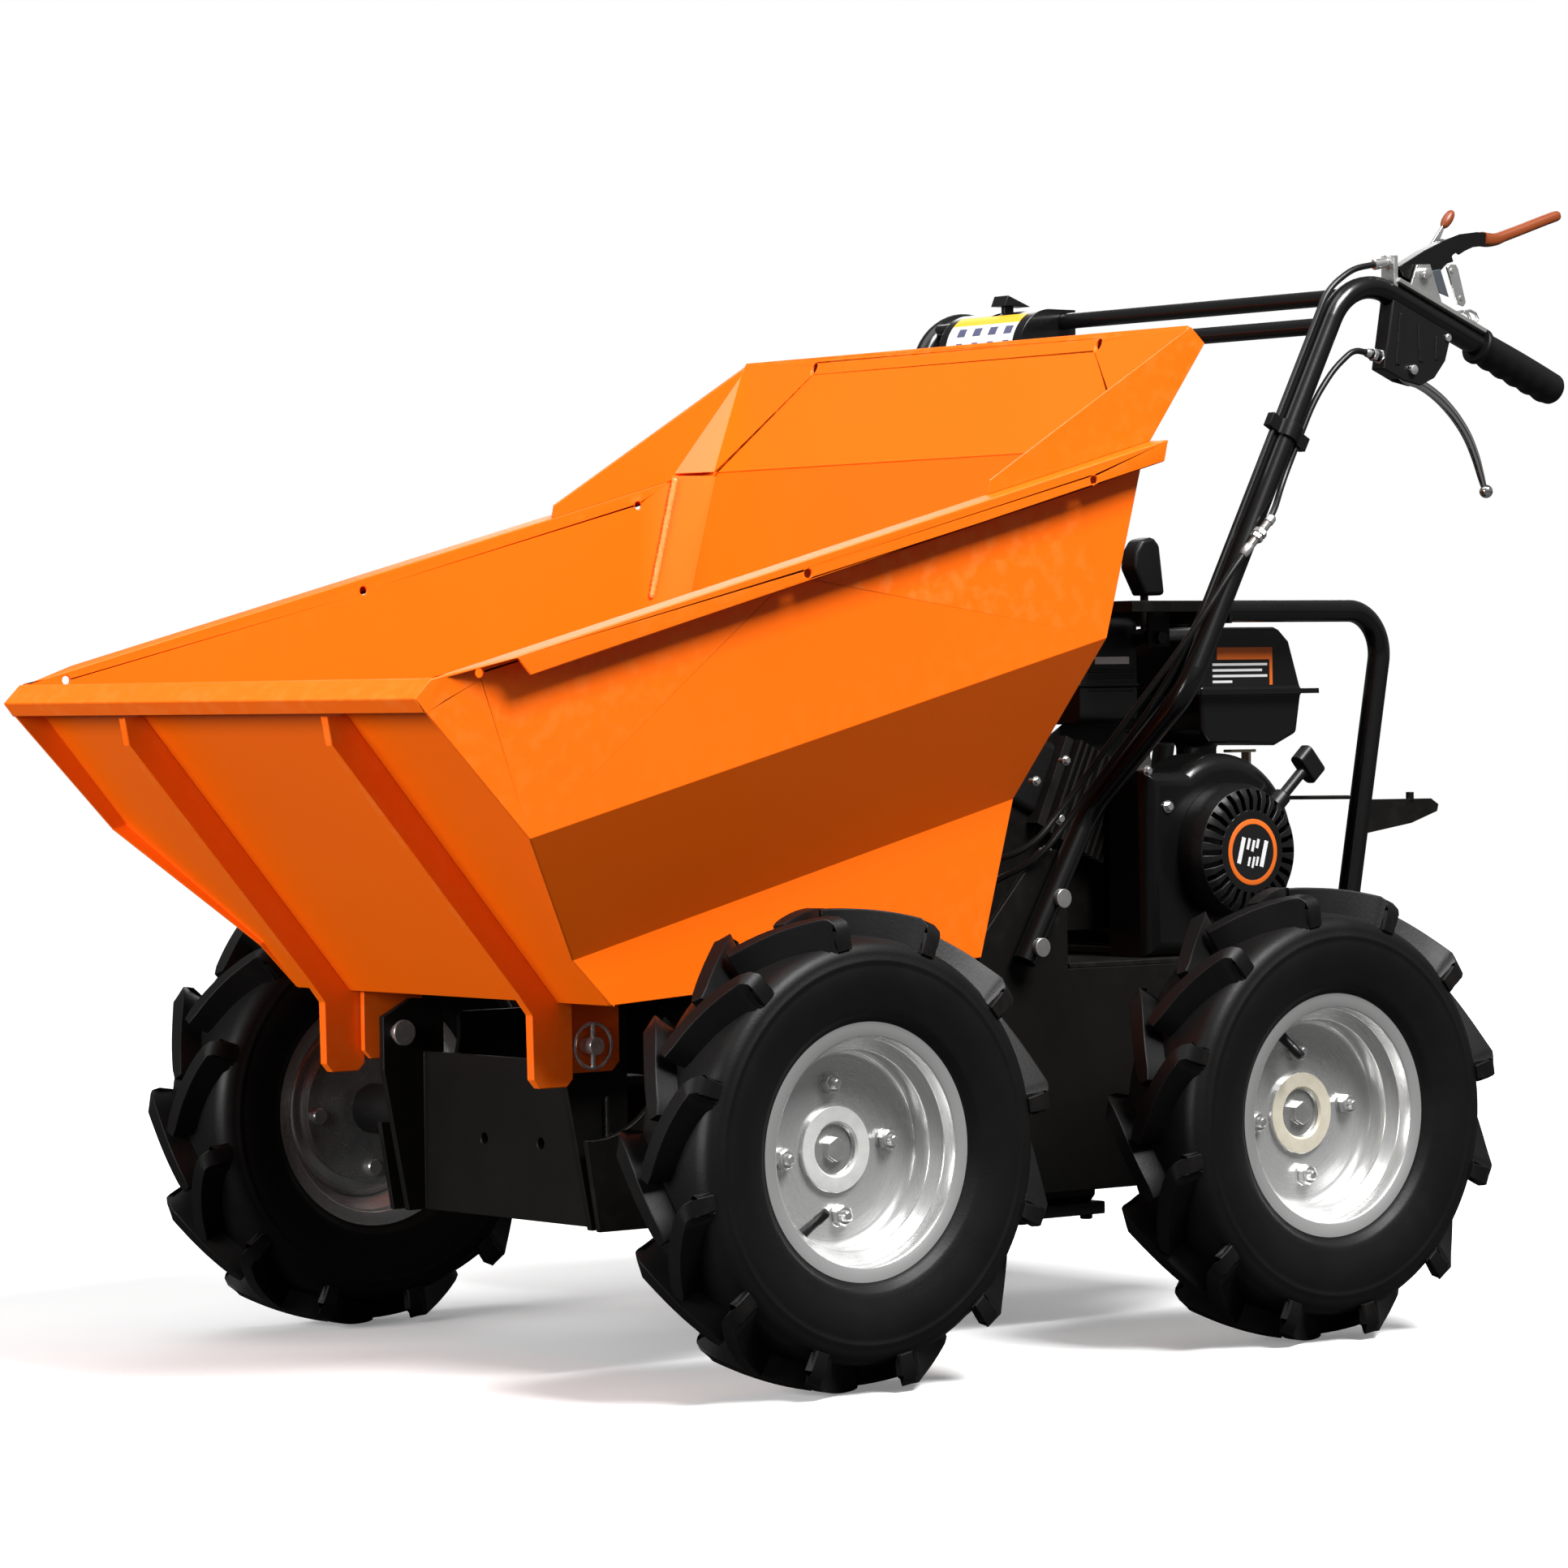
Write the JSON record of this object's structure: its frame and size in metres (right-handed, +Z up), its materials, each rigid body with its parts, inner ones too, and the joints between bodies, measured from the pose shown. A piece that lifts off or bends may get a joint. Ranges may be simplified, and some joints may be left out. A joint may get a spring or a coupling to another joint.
{
  "type": "power wheelbarrow",
  "caption": "Four-wheel motorised walk-behind barrow: tipping folded-sheet bucket at the front, engine and gearbox behind it, two bent handles with drive and brake levers.",
  "frame": {"origin": "centre of the bounding box in X and Y, at the ground under the tyres", "axes": "+X the machine's left, +Y toward the operator's handles, +Z up; the bucket's lip is at -Y"},
  "size_m": [0.852, 1.3946, 1.07],
  "materials": {
    "tyre": "glossy rubber lugs",
    "rim_silver": "silver paint",
    "zinc": "bright zinc plate",
    "black_paint": "gloss powder coat",
    "gear_case": "black paint over cast iron",
    "orange_paint": "semi-gloss powder coat",
    "rubber": "matte",
    "grip_rubber": "matte ribbed",
    "red_plastic": "gloss",
    "chrome": "polished",
    "black_plastic": "satin",
    "steel": "plain steel",
    "engine_aluminium": "cast",
    "tank_paint": "gloss paint",
    "cap_plastic": "matte",
    "flywheel_iron": "machined"
  },
  "bodies": {
    "chassis": {"chassis_frame": "black_paint", "engine_deck": "black_paint", "gearbox": "gear_case", "bucket_rests": "rubber", "axle_housing_front": "black_paint", "axle_housing_rear": "black_paint", "handle_left": "black_paint", "handle_right": "black_paint", "grip_left": "grip_rubber", "grip_right": "grip_rubber", "cross_tube_upper": "black_paint", "cross_tube_lower": "black_paint", "console_plate": "black_paint", "handle_clamps": "black_paint", "handle_bolts": "zinc", "lever_base": "zinc", "brake_housing": "chrome", "drive_cable": "rubber", "brake_cable": "rubber", "crankcase": "engine_aluminium", "cylinder": "engine_aluminium", "rocker_cover": "engine_aluminium", "spark_plug": "rubber", "muffler": "steel", "carburettor": "engine_aluminium", "air_filter": "black_plastic", "fuel_tank": "tank_paint", "blower_housing": "black_paint", "recoil_cover": "black_plastic", "guard_tubes": "black_paint", "gate_plate": "black_paint", "rear_bracket": "black_paint"},
    "bucket": {"bucket_shell": "orange_paint", "splash_guard": "orange_paint", "bucket_ribs": "orange_paint", "hinge_ears": "orange_paint", "hinge_pins": "zinc", "ring_pins": "zinc"},
    "front_wheels": {"tyre_front_left": "tyre", "tyre_front_right": "tyre", "rim_front_left": "rim_silver", "rim_front_right": "rim_silver", "axle_front": "zinc", "wheel_nuts_front": "zinc"},
    "rear_wheels": {"tyre_rear_left": "tyre", "tyre_rear_right": "tyre", "rim_rear_left": "rim_silver", "rim_rear_right": "rim_silver", "axle_rear": "zinc", "wheel_nuts_rear": "zinc"},
    "drive_lever": {"drive_lever": "black_paint", "drive_sleeve": "red_plastic"},
    "lock_lever": {"lock_lever": "red_plastic"},
    "brake_lever": {"brake_lever": "chrome"},
    "throttle_lever": {"throttle_lever": "black_plastic"},
    "shift_lever": {"shift_lever": "steel", "shift_knob": "black_plastic"},
    "recoil_handle": {"recoil_handle": "black_plastic"},
    "fuel_cap": {"fuel_cap": "cap_plastic"},
    "flywheel": {"flywheel": "flywheel_iron"}
  },
  "joints": [
    {"name": "bucket_tip", "type": "hinge", "parent": "chassis", "child": "bucket", "pos_m": [0, -0.3963, 0.297], "axis": [1, 0, 0], "range_deg": [0, 80]},
    {"name": "front_wheels_turn", "type": "hinge", "parent": "chassis", "child": "front_wheels", "pos_m": [0, -0.2863, 0.21], "axis": [1, 0, 0], "continuous": true},
    {"name": "rear_wheels_turn", "type": "hinge", "parent": "chassis", "child": "rear_wheels", "pos_m": [0, 0.2697, 0.21], "axis": [1, 0, 0], "continuous": true},
    {"name": "drive_lever_press", "type": "hinge", "parent": "chassis", "child": "drive_lever", "pos_m": [0.3, 0.5007, 1.001], "axis": [-1, 0, 0], "range_deg": [0, 38]},
    {"name": "lock_lever_swing", "type": "hinge", "parent": "chassis", "child": "lock_lever", "pos_m": [0.3, 0.5227, 0.99], "axis": [-1, 0, 0], "range_deg": [0, 20]},
    {"name": "brake_lever_squeeze", "type": "hinge", "parent": "chassis", "child": "brake_lever", "pos_m": [0.3, 0.4837, 0.908], "axis": [1, 0, 0], "range_deg": [0, 26]},
    {"name": "throttle_swing", "type": "hinge", "parent": "chassis", "child": "throttle_lever", "pos_m": [-0.165, 0.3812, 0.948], "axis": [1, 0, 0], "range_deg": [-9, 16]},
    {"name": "shift_lever_swing", "type": "hinge", "parent": "chassis", "child": "shift_lever", "pos_m": [0.1, 0.3237, 0.655], "axis": [1, 0, 0], "range_deg": [-14, 14]},
    {"name": "starter_pull", "type": "slide", "parent": "chassis", "child": "recoil_handle", "axis": [0, 0.7547, 0.6561], "range_m": [0, 0.06]},
    {"name": "fuel_cap_turn", "type": "hinge", "parent": "chassis", "child": "fuel_cap", "pos_m": [0.02, 0.4377, 0.68], "axis": [0, 0, 1], "continuous": true},
    {"name": "engine_spin", "type": "hinge", "parent": "chassis", "child": "flywheel", "pos_m": [0, 0.3837, 0.447], "axis": [1, 0, 0], "continuous": true}
  ],
  "couplings": [
    {"joint": "rear_wheels_turn", "follows": "front_wheels_turn", "ratio": 1}
  ]
}
